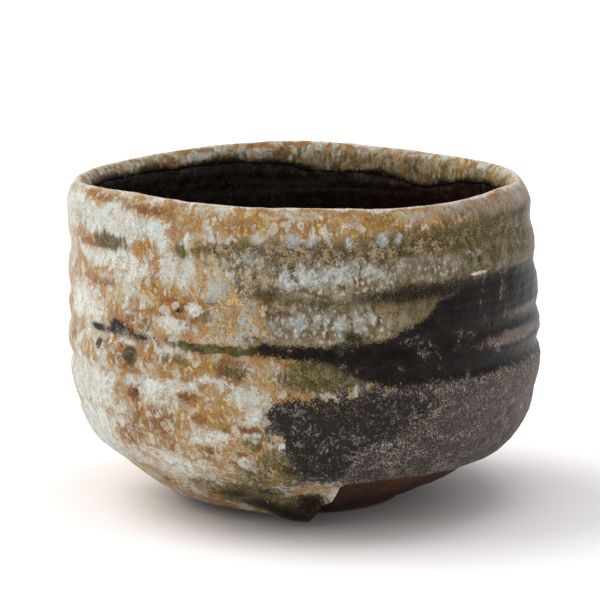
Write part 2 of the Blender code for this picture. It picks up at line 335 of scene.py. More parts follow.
INNER_RUST = (  # the same
    (131, 2.6, 1.5, 2.4, 0.85), (112, 2.2, 1.4, 2.4, 0.75), (96.5, 3.4, 1.4, 2.6, 0.75),
    (108, 1.2, 9, 0.8, 0.65), (80, 1, 6, 0.8, 0.6), (60, 1.2, 6, 0.8, 0.6), (170, 2, 5, 1.6, 0.6),
    (250, 2.5, 12, 1.6, 0.6),
)
MAUVE_SHEEN = (  # painted sheen: a mauve highlight on the ridges, along the rim and on the right flank, where they catch the light
    (332, 47, 17, 1.5, 0.85), (338, 52.8, 12, 1.4, 0.6), (332, 80.6, 27, 1.9, 1.1),
    (352, 74, 10, 5, 0.8), (352, 58, 8, 6, 0.3), (345, 30, 22, 9, 0.4), (10, 47, 16, 1.6, 0.6),
)
PAINTED_GLINTS = (  # painted glints: highlights on the ridge and on the torn edge, and a pale dot by a pit, as pale as the lip
    (315.5, 64.8, 2.2, 0.25, 1.4), (278.6, 10.4, 0.7, 2.6, 1.2), (319.5, 52, 0.5, 0.5, 0.8),
)
# Bands are heading, lower edge and upper edge.
BLACK_BAND = (
    (200, 49.2, 49.6), (206, 48.8, 50.4), (216, 48.8, 50.2), (220, 48.2, 53), (226, 48.4, 50.6),
    (232, 49, 50.1), (240, 48.6, 50), (250, 48.2, 50.2), (262, 47.2, 50.5), (270, 46.8, 50.5),
    (276, 45.6, 50.6), (280, 43.6, 50.6), (285, 40.6, 50.6), (290, 39.3, 51.4), (293, 39.2, 53),
    (300, 39.3, 56.6), (304, 39.3, 59.6), (310, 39.3, 62), (314, 39.3, 63.4), (322, 39.3, 64.6),
    (330, 39.4, 64.6), (345, 40.4, 64), (360, 41, 62), (380, 41.6, 58), (405, 43.6, 54),
    (430, 46.4, 51.4), (450, 48.6, 50), (470, 49, 49.4),
)
DARK_RUN = (  # the dark run above the black sweep
    (279, 60.8, 61.2), (284, 60.2, 63), (292, 59.9, 63.8), (300, 59.4, 64.2), (314, 60, 65),
)
CHARCOAL_BAND = (
    (260.5, 35.6, 36), (262.8, 31, 36.8), (266, 22, 37), (270, 15.6, 36.8), (275, 13.6, 37.6),
    (279, 15, 37.8), (282, 22, 38), (285, 25.4, 38.2), (291, 26.4, 38.4), (297, 30, 37.6),
    (304, 34, 35),
)
TAUPE_BAND = (
    (258.5, 31, 31.6), (263.5, 27, 35.6), (269, 22.6, 36.8), (274, 18, 37.6), (280, 13.6, 37.8),
    (284, 11.4, 38.6), (289, 10, 42.4), (300, 10, 44), (345, 10, 45), (380, 10, 45), (410, 11, 35),
    (435, 12, 26), (455, 14, 16),
)
BROWN_BAND = (
    (244, 60, 60.4), (250, 52, 64), (257, 50, 72), (262, 50, 77), (275, 50, 77), (290, 50, 78),
    (300, 55, 80), (320, 60, 80.5), (345, 60, 80.5), (380, 57, 80), (405, 53, 77), (430, 53, 72),
    (445, 56, 66), (455, 60, 61),
)
CRACKLE_BAND = (  # the mottled olive band under the lip
    (241, 71.6, 72.4), (245, 70.8, 74.4), (255, 70.2, 74.4), (262, 66.8, 74.4), (269, 66.6, 74.6),
    (274, 69.4, 75), (290, 70.2, 74.6), (300, 71, 75.6), (318, 71, 77), (336, 71.2, 78),
    (360, 72, 77), (390, 72, 76), (410, 73, 74),
)


def paint(heading, level, past, points):
    """Strengths of every colour of the ash glaze, by name, and the depth of its craters.

    Level is a place's height, and past is how far it lies beyond the top of the lip.
    """
    warp = clouds(points, 5.0, 11, 3)
    bent = heading + 1.3 * clouds(points + 40.0, 4.0, 12, 3)
    moved = level + warp
    outside = unit(0.5 - (past + 0.4) / 1.2)
    olive_bands = np.maximum(1.1 * ribbon(CRACKLE_BAND, bent, moved), ribbon(DARK_RUN, bent, moved))
    # The black band is broken up where it thins out on the left of the front.
    black_bands = np.maximum(
        ribbon(BLACK_BAND, bent, level + 0.6 * warp, 0.6),
        0.74 * ribbon(DARK_RUN, bent, level + 0.6 * warp, 0.8),
    )
    broken = 0.72 + 0.5 * clouds(points, 5.0, 14, 2)
    black_bands = black_bands * np.where(np.abs(turned(heading, 225)) < 34, broken, 1.0)
    layers = {
        "blue": patches(BLUE, bent, moved),
        "white": patches(WHITE_ASH_AND_GLINTS, bent, moved),
        "ochre": patches(OCHRE, bent, moved),
        "rust": patches(RUST, bent, level + 0.5 * warp),
        "olive": np.maximum(patches(OLIVE, bent, moved), olive_bands),
        "black": np.maximum(patches(BLACK, bent, level + 0.4 * warp), black_bands),
        "charcoal": ribbon(CHARCOAL_BAND, bent, moved, 1.1),
        "taupe": ribbon(TAUPE_BAND, bent, moved, 1.5),
        "net": patches(NET, bent, moved),
        "even": unit((heading - 300) / 26) * unit(1.3 - np.abs(level - 26) / 14),
        "curl": patches(CURL, bent, moved),
        "brown": ribbon(BROWN_BAND, bent, moved, 1.2),
        "cloud": patches(CLOUD, bent, moved),
        "drop": patches(DROP, bent, moved),
        # painted sheen, in mauve, on the ridges, rim and right flank
        "mauve": patches(MAUVE_SHEEN, heading, level),
    }
    layers = {name: strength * outside for name, strength in layers.items()}

    # Inside the lip the glaze thins to an olive fringe with a dark edge.
    inside = unit((past - 1.5) / 1.5)
    right = unit(1.3 - np.abs(turned(bent, 45)) / 55)
    past_edge = past - round_the_rim(SPILL, 1, heading)
    fringe = unit((past_edge + 3.4 + 1.2 * warp) / 3.0)
    inner_moved = past + 0.3 * warp
    inner = {
        "olive": inside * np.maximum(fringe, 0.35 + 0.1 * right),
        "ochre": inside * (0.26 + 0.40 * right),
        "rust": patches(INNER_RUST, bent, inner_moved) * inside,
        "blue": patches(INNER_BLUE, bent, inner_moved) * (1 - 0.6 * fringe) * inside,
        "black": inside * np.clip((past_edge + 2.4 + 0.8 * warp) / 2.6, 0, 0.85),
    }
    for name, strength in inner.items():
        layers[name] = np.maximum(layers[name], strength)

    pale_mark = bell(past + 0.2, 0.9) * (0.85 + 0.2 * clouds(points, 6.0, 13, 2))
    # the paler band along the lip, with the painted glints added to it
    layers["lip"] = pale_mark + patches(PAINTED_GLINTS, heading, level) * outside
    per_degree = radius_of(level) * np.pi / 180
    away = [
        np.hypot(turned(heading, at) * per_degree, level - height) / wide
        for at, height, wide, _ in PITS
    ]
    layers["pit"] = sum(np.exp(-(far**4)) for far in away) * outside
    layers["crater"] = outside * sum(
        deep * (0.45 * bell(far - 1.25, 0.3) - np.exp(-(far**4)))
        for far, (_, _, _, deep) in zip(away, PITS)
    )
    return layers


# ---- meshes
def add_piece(name, points, faces, values, material, node):
    """A closed mesh with its paint, riding on the bowl and standing for a node of the model."""
    mesh = bpy.data.meshes.new(name)
    mesh.from_pydata((points * MM).tolist(), [], faces)
    mesh.validate()
    mesh.shade_smooth()
    for key, strengths in values.items():
        attribute = mesh.attributes.new(key, "FLOAT", "POINT")
        attribute.data.foreach_set("value", np.asarray(strengths, np.float32))
    mesh.materials.append(material)
    piece = bpy.data.objects.new(name, mesh)
    bpy.context.scene.collection.objects.link(piece)
    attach(piece, "root")
    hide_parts(node)


def ring_faces(a, b, count):
    """Faces between the ring of points that starts at a and the ring that starts at b."""
    return [(a + i, a + (i + 1) % count, b + (i + 1) % count, b + i) for i in range(count)]


def hoop_faces(rings, count):
    """Faces between each ring and the next, and from the last ring back to the first."""
    faces = []
    for ring in range(rings):
        faces += ring_faces(ring * count, (ring + 1) % rings * count, count)
    return faces


def shell_faces(rings, count):
    """Faces of a body closed at both ends, whose first and last points lie on the axis."""
    faces = [(0, 1 + (i + 1) % count, 1 + i) for i in range(count)]
    for ring in range(rings - 1):
        faces += ring_faces(1 + ring * count, 1 + (ring + 1) * count, count)
    last = 1 + (rings - 1) * count
    faces += [(last + count, last + i, last + (i + 1) % count) for i in range(count)]
    return faces


def headings(count):
    return np.arange(count) * 360.0 / count


def grid(start, end, rings, count):
    """Headings and lengths along the outline, for rings between two edges given by heading."""
    heading = headings(count)
    share = np.linspace(0, 1, rings)[:, None]
    along = start(heading) + (end(heading) - start(heading)) * share
    return np.broadcast_to(heading, along.shape), along


def under_centre(heading):
    """The first ring of a closed body, round the axis under the floor."""
    return np.full_like(heading, AXIS_RING)


def well_centre(heading):
    """The last ring of a closed body, round the axis in the well."""
    return np.full_like(heading, ALONG[-1] - AXIS_RING)


def axis_point(along, depth):
    """The point of the bowl on its axis, at one end of the outline."""
    return place(np.zeros(1), np.full(1, along), depth)


def coat_start(heading):
    """The length along the outline at the ash glaze's lower edge."""
    return along_at_radius(round_the_rim(SKIRT, 1, heading) + 0.35 * ragged(heading, 21))


def coat_end(heading):
    """The length along the outline at the ash glaze's edge inside the bowl."""
    return LIP_ALONG + round_the_rim(SPILL, 1, heading) + 0.25 * ragged(heading, 22)


def make_ash_glaze(material):
    """The pale runny coat: skirt, wall, lip and the start of the inside, with a plain back."""
    heading, along = grid(coat_start, coat_end, COAT_RINGS, COAT_COUNT)
    points = place(heading, along)
    height, past = points[..., 2], along - LIP_ALONG
    values = paint(heading, height, past, points)
    from_start, to_end = along - coat_start(heading), coat_end(heading) - along

    # The throwing lines, and the glaze's own thickness and craters.
    wall = unit((height - 14) / 6) * unit((79 - height) / 4) * (past < 0)
    waves = 1.4 * np.sin(np.radians(heading)) + clouds(points, 14.0, 33)
    relief = 0.16 * clouds(points, 9.0, 31, 2) + 0.07 * clouds(points, 2.6, 32, 2)
    relief += wall * 0.045 * np.sin(height * COAT_LINES + waves)
    relief += 0.14 * unit(values["blue"] - 0.4) + 0.16 * unit(values["white"] - 0.4)
    relief += values["crater"] - 0.1 * values["black"] * (past < 0)
    # The rolled lower edge, with a lump and a torn step just right of the front.
    edge = from_start / 1.6
    rolled = np.clip(1.2 - np.abs(turned(heading, 265)) / 60, 0.3, 1)
    relief += 0.45 * edge * np.exp(1 - edge**2) * rolled
    lump, lump_radius = LUMP
    relief += 3.2 * bell(turned(heading, lump), 10) * bell(along - along_at_radius(lump_radius), 5)
    tear, tear_height = TEAR
    relief += 0.7 * bell(turned(heading, tear), 2.0) * bell(height - tear_height, 3.2)
    # It thins out at both edges.
    relief = np.clip(relief, -0.7, 3.4) * np.clip(from_start / 0.5, 0.2, 1)
    thin = unit(1 - to_end / 1.6)
    over = place(heading, along, 0.15 * thin - relief * (1 - thin))
    over[..., 2] = np.maximum(over[..., 2], ABOVE_TABLE)

    heading, along = grid(coat_start, coat_end, COAT_INNER_RINGS, COAT_COUNT)
    thin = unit(2 - (coat_end(heading) - along) / 1.5)
    under = place(heading, along, COAT - 0.55 * thin)
    paints = {
        name: np.concatenate([value.ravel(), np.zeros(COAT_INNER_RINGS * COAT_COUNT)])
        for name, value in values.items() if name != "crater"
    }
    add_piece(
        "ash_glaze_coat", np.concatenate([over.reshape(-1, 3), under[::-1].reshape(-1, 3)]),
        hoop_faces(COAT_RINGS + COAT_INNER_RINGS, COAT_COUNT), paints, material, "outer_glaze",
    )


def make_clay(material):
    """The stoneware vessel under the glazes, bare round the foot and at the lower right."""
    heading, along = grid(under_centre, well_centre, CLAY_RINGS, CLAY_COUNT)
    points = place(heading, along)
    height, to_coat = points[..., 2], coat_start(heading) - along
    hollow = unit(1.25 - np.abs(turned(heading, 315)) / 48)
    underside = unit((along - along_at_radius(29.0)) / 5) * unit((to_coat + 1.0) / 1.6)
    grain = 0.10 * clouds(points, 2.0, 51, 3) + 0.12 * clouds(points, 8.0, 52, 2)
    grain += 0.09 * np.sin(along * CLAY_LINES + clouds(points, 10.0, 53))
    depth = COAT + GAP + 1.5 * hollow * underside - grain * unit(to_coat / 2)
    all_points = np.concatenate([
        axis_point(0.0, COAT + GAP), place(heading, along, depth).reshape(-1, 3),
        axis_point(ALONG[-1], COAT + GAP),
    ])
    # The flush of rust from the flame: a patch on the right, a line along the glaze, and blotches.
    glow = unit(1 - np.abs(turned(heading, 308)) / 22) * unit((height - 5) / 5)
    line = unit(1 - to_coat / 3.0) * unit(1.2 - np.abs(turned(heading, 312)) / 20)
    blotches = unit(1 + clouds(points, 16.0, 54, 2)) * (height < 14)
    glow = np.maximum(glow + 0.7 * line, 0.4 * blotches)
    add_piece(
        "clay_vessel", all_points, shell_faces(CLAY_RINGS, CLAY_COUNT),
        {"glow": np.concatenate([[0.0], glow.ravel(), [0.0]])}, material, "clay_body",
    )


def make_liner(material):
    """The dark glaze inside, from under the ash glaze's inner edge to the middle of the well."""
    heading, along = grid(lambda h: coat_end(h) - 1.4, well_centre, LINER_RINGS, LINER_COUNT)
    points = place(heading, along)
    height, past = points[..., 2], along - coat_end(heading)
    relief = 0.10 * clouds(points, 9.0, 61, 2) + 0.05 * clouds(points, 2.6, 62, 2)
    relief += 0.06 * np.sin(height * LINER_LINES + clouds(points, 12.0, 63)) * (height > 20)
    tucked = 0.10 * unit(1 - past / 1.2)
    over = place(heading, along, COAT - LINER + tucked - relief * unit(past / 2))
    under = place(heading, along, COAT)
    all_points = np.concatenate([
        axis_point(ALONG[-1], COAT), under[::-1].reshape(-1, 3), over.reshape(-1, 3),
        axis_point(ALONG[-1], COAT - LINER),
    ])
    strengths = {
        "fringe": 0.25 * unit(1.2 - past / (2.2 + 1.6 * clouds(points, 5.0, 64, 2))),
        "maroon": unit(1.15 - np.abs(turned(heading, 42)) / 50),
        "pool": unit((20 - height) / 5),
    }
    values = {
        name: np.concatenate([[value[-1, 0]], value[::-1].ravel(), value.ravel(), [value[-1, 0]]])
        for name, value in strengths.items()
    }
    add_piece(
        "liner_glaze_coat", all_points, shell_faces(2 * LINER_RINGS, LINER_COUNT), values,
        material, "inner_glaze",
    )


def make_foot(material):
    """The foot ring, turned with a tool and worn round where it stands."""
    section = curve_through((
        (FOOT_INNER + 0.9, 0.0), (FOOT_INNER + 2.4, 0.0),
        (FOOT_OUTER - 2.4, 0.0), (FOOT_OUTER - 0.9, 0.0),
        (FOOT_OUTER - 0.2, 0.3), (FOOT_OUTER + 0.1, 1.0), (FOOT_OUTER + FOOT_FLARE, FOOT_TOP),
        (FOOT_INNER - FOOT_FLARE, FOOT_TOP), (FOOT_INNER - 0.1, 1.0), (FOOT_INNER + 0.2, 0.3),
    ), FOOT_STEPS)[:-1]
    section[:, 1] = np.clip(section[:, 1], 0.0, FOOT_TOP)
    heading = headings(FOOT_COUNT)
    radius, height = (
        np.broadcast_to(column[:, None], (len(section), FOOT_COUNT)) for column in section.T
    )
    turning = 0.14 * clouds(polar(radius, heading, height), 2.2, 71, 3)
    turning += 0.07 * np.sin(height * FOOT_LINES)
    lifted = unit(height / 0.6) * unit((FOOT_TOP - height) / 0.6)
    side = np.where(radius > (FOOT_INNER + FOOT_OUTER) / 2, 1.0, -1.0)
    points = polar(radius + side * lifted * turning, heading, height)
    add_piece(
        "foot_ring_turned", points.reshape(-1, 3), hoop_faces(len(section), FOOT_COUNT),
        {"wear": unit(1 - height / 0.9).ravel()}, material, "foot_ring",
    )


# ---- materials
FLAME_RUST = (0.12, 0.040, 0.017)  # clay that the flame has flushed


class Look:
    """A material's nodes, with short names for the few kinds in use. Sizes are in millimetres."""

    def __init__(self, name):
        self.material = bpy.data.materials.new(name)
        self.material.use_nodes = True
        self.nodes, self.links = self.material.node_tree.nodes, self.material.node_tree.links
        self.shader = self.nodes["Principled BSDF"]
        self.coordinates = self.nodes.new("ShaderNodeTexCoord").outputs["Object"]
        self.colour = None

    def put(self, value, socket):
        """Links a socket to another, or sets it to a number or colour."""
        if isinstance(value, bpy.types.NodeSocket):
            self.links.new(value, socket)
        elif isinstance(value, tuple):
            socket.default_value = (*value, 1.0)[: len(socket.default_value)]
        else:
            socket.default_value = value

    def node(self, kind, inputs, output=0, **settings):
        """The output of a new node whose inputs are linked or set, by name or number."""
        made = self.nodes.new("ShaderNode" + kind)
        for key, value in settings.items():
            setattr(made, key, value)
        for key, value in inputs.items():
            self.put(value, made.inputs[key])
        return made.outputs[output]

    def math(self, kind, first, second=0.0, third=0.0):
        return self.node("Math", {0: first, 1: second, 2: third}, operation=kind)

    def both(self, first, second):
        return self.math("MULTIPLY", first, second)

    def blend(self, share, first, second):
        """A number between two others."""
        return self.math("MULTIPLY_ADD", share, self.math("SUBTRACT", second, first), first)

    def step(self, value, low, high, start=0.0, end=1.0):
        """From start to end, smoothly, as a value goes from low to high."""
        inputs = {0: value, 1: low, 2: high, 3: start, 4: end}
        return self.node("MapRange", inputs, interpolation_type="SMOOTHSTEP")

    def spot(self, size, tall=1.0, shift=0.0):
        """Coordinates in units of size, stretched upwards by tall."""
        scale = (1 / (size * MM), 1 / (size * MM), 1 / (size * MM * tall))
        shifts = (shift, shift * 1.7, shift * 0.6)
        inputs = {"Vector": self.coordinates, "Location": shifts, "Scale": scale}
        return self.node("Mapping", inputs)

    def noise(self, size, detail=4.0, rough=0.55, tall=1.0, shift=0.0, twist=0.0):
        inputs = {"Vector": self.spot(size, tall, shift), "Scale": 1.0, "Detail": detail}
        return self.node("TexNoise", {**inputs, "Roughness": rough, "Distortion": twist})

    def cells(self, size, tall=1.0, shift=0.0):
        """Distance to the nearest of many scattered spots, whose outlines wander a little."""
        spot = self.spot(size * 0.7, tall, shift + 3)
        wander = self.node("TexNoise", {"Vector": spot, "Scale": 1.0}, "Color")
        inputs = {0: wander, 1: (0.9, 0.9, 0.9), 2: self.spot(size, tall, shift)}
        moved = self.node("VectorMath", inputs, operation="MULTIPLY_ADD")
        return self.node("TexVoronoi", {"Vector": moved, "Scale": 1.0}, "Distance")

    def contours(self, size, width, shift):
        """Thin wandering lines, where a noise passes its middle."""
        noise = self.noise(size, 3.0, 0.6, shift=shift, twist=0.8)
        away = self.math("ABSOLUTE", self.math("SUBTRACT", noise, 0.5))
        return self.step(away, 0.2 * width, width, 1.0, 0.0)

    def around(self, near, far):
        """0 to 1 with the distance from the object's own origin, in metres."""
        away = self.node("VectorMath", {0: self.coordinates}, "Value", operation="LENGTH")
        return self.step(away, near, far)

    def paint(self, name):
        """A strength stored with the mesh."""
        return self.node("Attribute", {}, "Fac", attribute_name=name)

    def edge(self, name, noise, spread, soft, level=0.5):
        """Where a stored strength, roughened by noise, passes a level."""
        rough = self.math("MULTIPLY_ADD", noise, spread, -0.5 * spread)
        rough = self.math("ADD", self.paint(name), rough)
        return self.step(rough, level - soft, level + soft)

    def mix(self, share, first, second):
        """A colour between two others, from the Mix node's own colour sockets."""
        return self.node("Mix", {0: share, 6: first, 7: second}, 2, data_type="RGBA")

    def lay(self, under, over, where, strength):
        """One colour laid over another where a mask is, at a strength."""
        return self.mix(self.both(where, strength), under, over)

    def over(self, colour, where, strength=None):
        """The same on the material's own colour. Without a strength the mask is taken as it is."""
        if strength is not None:
            where = self.both(where, strength)
        self.colour = self.mix(where, self.colour, colour)

    def shade(self, strength):
        """Makes the material's own colour darker or lighter by a number."""
        inputs = {0: self.colour, "Scale": strength}
        self.colour = self.node("VectorMath", inputs, operation="SCALE")

    def bump(self, height, strength, distance, under=None):
        inputs = {"Strength": strength, "Distance": distance * MM, "Height": height}
        return self.node("Bump", {**inputs, "Normal": under} if under else inputs)

    def finish(self, roughness, normal, specular):
        self.put(self.colour, self.shader.inputs["Base Color"])
        self.put(roughness, self.shader.inputs["Roughness"])
        self.put(normal, self.shader.inputs["Normal"])
        self.shader.inputs["Specular IOR Level"].default_value = specular
        return self.material


def ash_glaze():
    look = Look("ash_glaze_runny")
    grain = look.step(look.noise(0.5, 3.0, 0.7), 0.32, 0.68)
    middle = look.step(look.noise(2.2, 6.0, 0.64, shift=7.0), 0.36, 0.64)
    large = look.step(look.noise(6.0, 5.0, 0.6, shift=3.0), 0.36, 0.64)
    streaks = look.step(look.noise(0.9, 4.0, 0.6, tall=6.0, shift=11.0), 0.36, 0.64)
    mixed = look.blend(0.35, look.blend(0.35, middle, large), grain)
    dripping = look.blend(0.3, mixed, streaks)

    # The pale ash: cream and celadon clouds, lighter spots, and a soft wandering net of ochre.
    look.colour = look.mix(large, (0.36, 0.32, 0.23), (0.47, 0.50, 0.44))
    look.over((0.54, 0.56, 0.49), middle, 0.55)
    blue = look.edge("blue", mixed, 0.9, 0.35)
    celadon = look.mix(middle, (0.44, 0.49, 0.455), (0.63, 0.67, 0.635))
    look.over(celadon, blue, 0.9)
    spots = look.step(look.cells(2.3, shift=37.0), 0.15, 0.6, 0.8, 0.0)
    look.over((0.65, 0.67, 0.60), spots, look.step(large, 0.3, 0.8, 0.2, 1.0))
    thin = look.math("MULTIPLY_ADD", blue, -0.75, 1.0)
    wandering = look.both(look.step(look.noise(8.0, 3.0, shift=23.0), 0.36, 0.56), thin)
    wide = look.both(look.contours(5.8, 0.15, 5.0), wandering)
    look.over((0.34, 0.16, 0.03), wide, 0.9)
    narrow = look.both(look.contours(2.8, 0.08, 15.0), look.both(thin, look.step(large, 0.7, 0.2)))
    look.over((0.38, 0.22, 0.06), narrow, 0.4)
    heart = look.step(mixed, 0.45, 0.65, 0.0, 0.85)
    look.over((0.18, 0.072, 0.018), look.both(wide, wide), heart)
    crumbs = look.step(look.noise(0.7, 2.0, shift=51.0), 0.57, 0.66)
    crumbs = look.both(crumbs, look.step(large, 0.8, 0.3, 0.0, 0.6))
    look.over((0.17, 0.105, 0.045), crumbs, thin)

    # The brown ground on the right, with celadon drops, and the curls of ash and ochre left of it.
    brown = look.edge("brown", dripping, 0.8, 0.3)
    ground = look.step(dripping, 0.2, 0.8)
    ground = look.mix(ground, (0.042, 0.026, 0.010), (0.245, 0.185, 0.095))
    look.over(ground, brown, 0.88)
    drops = look.both(look.edge("blue", mixed, 0.8, 0.3), brown)
    look.over((0.40, 0.43, 0.41), drops, 0.8)
    curl = look.edge("curl", mixed, 0.8, 0.3)
    ash = look.mix(middle, (0.23, 0.225, 0.19), (0.47, 0.485, 0.45))
    look.over(ash, curl, 0.7)
    look.over((0.52, 0.40, 0.20), look.contours(2.7, 0.1, 61.0), curl)
    look.over((0.17, 0.085, 0.03), look.contours(2.7, 0.03, 61.0), curl)

    # The ochre and rust stains, with fine dark strokes.
    ochre = look.edge("ochre", look.blend(0.4, mixed, streaks), 1.4, 0.25, 0.54)
    gold = look.step(look.blend(0.6, middle, streaks), 0.2, 0.85)
    gold = look.mix(gold, (0.20, 0.078, 0.012), (0.55, 0.38, 0.125))
    look.over(gold, ochre, 0.88)
    curls = look.edge("ochre", mixed, 1.0, 0.3, 0.3)
    curls = look.both(look.contours(3.0, 0.10, 9.0), curls)
    look.over((0.22, 0.10, 0.026), look.both(curls, streaks), 0.7)
    strokes = look.both(look.contours(3.6, 0.10, 71.0), look.step(look.paint("rust"), 0.12, 0.5))
    look.over((0.16, 0.062, 0.015), strokes, 0.85)
    rust = look.edge("rust", mixed, 1.3, 0.22, 0.56)
    russet = look.mix(middle, (0.085, 0.032, 0.009), (0.31, 0.142, 0.038))
    look.over(russet, rust, 0.9)

    # Inside the stains the pale ash stays in small islands with dark rims.
    stained = look.math("MAXIMUM", ochre, rust)
    field = look.noise(2.8, 2.0, 0.4, shift=91.0)
    field = look.blend(0.5, look.cells(3.6, tall=1.2, shift=83.0), field)
    rims = look.both(look.step(field, 0.42, 0.47), look.step(field, 0.53, 0.48))
    scattered = look.both(look.step(large, 0.4, 0.8, 0.0, 0.6), thin)
    rims = look.both(rims, look.math("MAXIMUM", stained, scattered))
    look.over((0.20, 0.082, 0.018), rims, 0.62)
    islands = look.both(look.step(field, 0.47, 0.39), stained)
    cream = look.mix(middle, (0.46, 0.445, 0.36), (0.64, 0.62, 0.53))
    look.over(cream, islands, 0.62)
    white = look.mix(middle, (0.53, 0.54, 0.48), (0.69, 0.71, 0.65))
    look.over(white, look.edge("white", mixed, 0.9, 0.35), 0.75)

    # The olive runs, broken by a fine pale net, and the brown net under the lip.
    olive = look.edge("olive", dripping, 1.2, 0.22)
    crazed = look.blend(0.6, middle, grain)
    crazed = look.mix(crazed, (0.014, 0.011, 0.003), (0.125, 0.098, 0.028))
    look.over(crazed, olive, 0.95)
    net = look.both(look.contours(1.3, 0.06, 27.0), look.both(olive, look.step(middle, 0.4, 0.7)))
    look.over((0.32, 0.25, 0.12), net, 0.42)
    netted = look.edge("net", dripping, 1.2, 0.2)
    umber = look.mix(grain, (0.035, 0.021, 0.009), (0.135, 0.085, 0.038))
    look.over(umber, netted, 0.9)
    mesh = look.both(look.contours(1.1, 0.12, 3.0), netted)
    look.over((0.36, 0.285, 0.165), mesh, look.step(middle, 0.2, 0.7, 0.1, 0.8))

    # White ash gathered in soft round drops, with darker runs between them.
    cloud = look.paint("cloud")
    drops = look.step(look.cells(3.0, tall=1.3, shift=31.0), 0.25, 0.62, 1.0, 0.0)
    look.over((0.44, 0.43, 0.37), look.both(drops, cloud), 0.55)
    single = look.edge("drop", mixed, 0.5, 0.4, 0.6)
    milky = look.mix(middle, (0.30, 0.325, 0.31), (0.50, 0.53, 0.50))
    look.over(milky, single, 0.8)
    beads = look.step(look.cells(1.35, tall=1.3, shift=43.0), 0.2, 0.5, 1.0, 0.0)
    gathered = look.step(look.both(cloud, look.math("ADD", dripping, 0.4)), 0.2, 0.6)
    look.over((0.56, 0.56, 0.51), look.both(beads, gathered), 0.55)

    # The dark side: taupe, charcoal and black, dusted with ash, and a painted sheen in mauve where
    # the ridges, rim and right flank catch the light.
    specks = look.step(look.noise(0.45, 2.0, 0.6, shift=17.0), 0.48, 0.64)
    falls = look.step(look.noise(6.0, 6.0, 0.65, tall=0.45, shift=29.0), 0.42, 0.60)
    flakes = look.step(look.noise(1.0, 3.0, 0.6, shift=57.0), 0.55, 0.66)
    taupe = look.edge("taupe", mixed, 1.35, 0.2)
    dusted = look.lay(
        (0.036, 0.028, 0.025), (0.32, 0.285, 0.245), specks,
        look.math("MULTIPLY_ADD", falls, 0.7, 0.3),
    )
    dusted = look.lay(dusted, (0.37, 0.34, 0.28), look.both(flakes, falls), 0.6)
    even = look.mix(middle, (0.050, 0.038, 0.034), (0.125, 0.098, 0.088))
    dusted = look.lay(dusted, even, look.paint("even"), 0.75)
    look.over(dusted, taupe)
    charcoal = look.edge("charcoal", mixed, 1.2, 0.15)
    sooty = look.lay(
        (0.017, 0.0142, 0.0118), (0.25, 0.215, 0.165), specks,
        look.step(middle, 0.45, 1.0, 0.05, 0.6),
    )
    sooty = look.lay(sooty, (0.30, 0.25, 0.18), flakes, look.step(large, 0.4, 0.9, 0.0, 0.5))
    look.over(sooty, charcoal)
    black = look.edge("black", look.blend(0.6, mixed, grain), 0.62, 0.26)
    tarry = look.mix(large, (0.0050, 0.0042, 0.0036), (0.0135, 0.0088, 0.0068))
    tarry = look.lay(tarry, (0.12, 0.095, 0.07), specks, look.step(falls, 0.5, 1.0, 0.0, 0.12))
    look.over(tarry, black)
    # painted sheen: a mauve highlight laid into the colour where the ridges, rim and right flank
    # catch the light
    painted_sheen = look.mix(look.blend(0.5, grain, streaks), (0.13, 0.088, 0.072), (0.37, 0.295, 0.25))
    look.over(painted_sheen, look.edge("mauve", mixed, 0.6, 0.4), 0.52)

    # Pits that show the clay, a paler band along the top of the lip, and painted glints laid in the
    # same pale colour.
    pit = look.mix(look.blend(0.5, grain, middle), (0.012, 0.008, 0.004), (0.15, 0.11, 0.065))
    look.over(pit, look.edge("pit", mixed, 0.9, 0.2))
    # painted glints share this pale colour with the band along the lip
    lip = look.edge("lip", look.blend(0.5, mixed, large), 1.0, 0.3, 0.55)
    pale_mark = look.mix(grain, (0.46, 0.38, 0.31), (0.70, 0.63, 0.56))
    look.over(pale_mark, lip, 0.85)
    look.shade(look.math("MULTIPLY_ADD", grain, 0.40, 0.77))

    dark = look.math("MAXIMUM", black, charcoal)
    dusty = look.both(taupe, look.math("SUBTRACT", 1.0, dark))
    roughness = look.blend(dusty, look.blend(mixed, 0.30, 0.52), 0.55)
    roughness = look.blend(look.both(dark, 0.7), roughness, 0.34)
    relief = look.math("MULTIPLY_ADD", middle, 0.5, look.both(grain, 0.35))
    relief = look.math("SUBTRACT", relief, look.both(stained, 0.2))
    return look.finish(roughness, look.bump(relief, 0.6, 0.22), 0.07)


def liner_glaze():
    look = Look("liner_glaze_dark")
    grain = look.step(look.noise(0.5, 3.0, 0.7), 0.3, 0.7)
    middle = look.step(look.noise(2.6, 6.0, 0.62, shift=5.0), 0.3, 0.7)
    streaks = look.step(look.noise(1.1, 4.0, 0.6, tall=6.0, shift=8.0), 0.32, 0.68)
    mixed = look.blend(0.35, look.blend(0.4, middle, streaks), grain)
    look.colour = look.mix(middle, (0.0045, 0.0035, 0.0028), (0.016, 0.011, 0.006))
    look.over((0.013, 0.0038, 0.0032), look.paint("maroon"), 0.8)
    fringe = look.mix(look.blend(0.5, middle, grain), (0.03, 0.02, 0.008), (0.15, 0.11, 0.052))
    look.over(fringe, look.edge("fringe", mixed, 0.9, 0.3))
    pooled = look.step(mixed, 0.3, 0.8, 0.15, 0.75)
    look.over((0.034, 0.038, 0.022), look.paint("pool"), pooled)
    specks = look.step(look.noise(0.8, 2.0, shift=13.0), 0.62, 0.7, 0.0, 0.8)
    strewn = look.step(look.noise(7.0, 3.0, shift=19.0), 0.45, 0.62, 0.1, 0.9)
    look.over((0.085, 0.055, 0.026), specks, strewn)
    normal = look.bump(look.blend(0.4, middle, grain), 0.35, 0.2)
    return look.finish(look.blend(middle, 0.14, 0.36), normal, 0.22)


